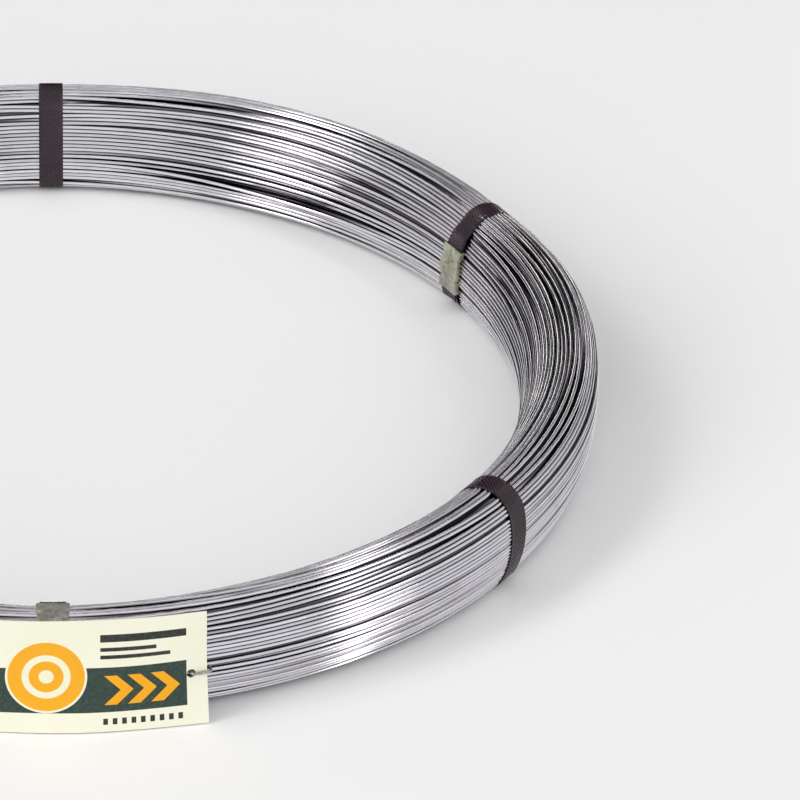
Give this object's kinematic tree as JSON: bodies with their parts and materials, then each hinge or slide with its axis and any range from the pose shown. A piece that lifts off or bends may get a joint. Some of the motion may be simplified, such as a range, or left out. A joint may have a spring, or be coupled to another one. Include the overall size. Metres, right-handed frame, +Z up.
{
  "type": "coil of galvanised wire",
  "caption": "Coil of drawn galvanised fence wire lying flat, bound by dark plastic straps with crimped steel seals, with a label card tied to its front",
  "frame": {"origin": "On the axis of the coil, at the floor it lies on", "axes": "+Z up along the axis of the coil; the label card faces -Y; +X to the right as seen from the label"},
  "size_m": [0.5, 0.5086, 0.0538],
  "materials": {
    "galvanised_wire": "drawn steel wire with a dull bright zinc coat",
    "strap_plastic": "brown-black plastic strap with a fine diamond embossing",
    "seal_steel": "dull zinc-coated sheet steel with an olive cast",
    "label_card": "coated card, printed in dark green and amber with plain shapes",
    "tie_wire": "dull steel wire"
  },
  "bodies": {
    "root": {"wire_coil": "galvanised_wire", "strap_1": "strap_plastic", "strap_2": "strap_plastic", "strap_3": "strap_plastic", "strap_4": "strap_plastic", "strap_5": "strap_plastic", "strap_6": "strap_plastic", "seal_1": "seal_steel", "seal_2": "seal_steel", "seal_3": "seal_steel", "seal_4": "seal_steel", "seal_5": "seal_steel", "seal_6": "seal_steel", "label_card": "label_card", "label_tie_left": "tie_wire", "label_tie_right": "tie_wire"}
  },
  "joints": []
}
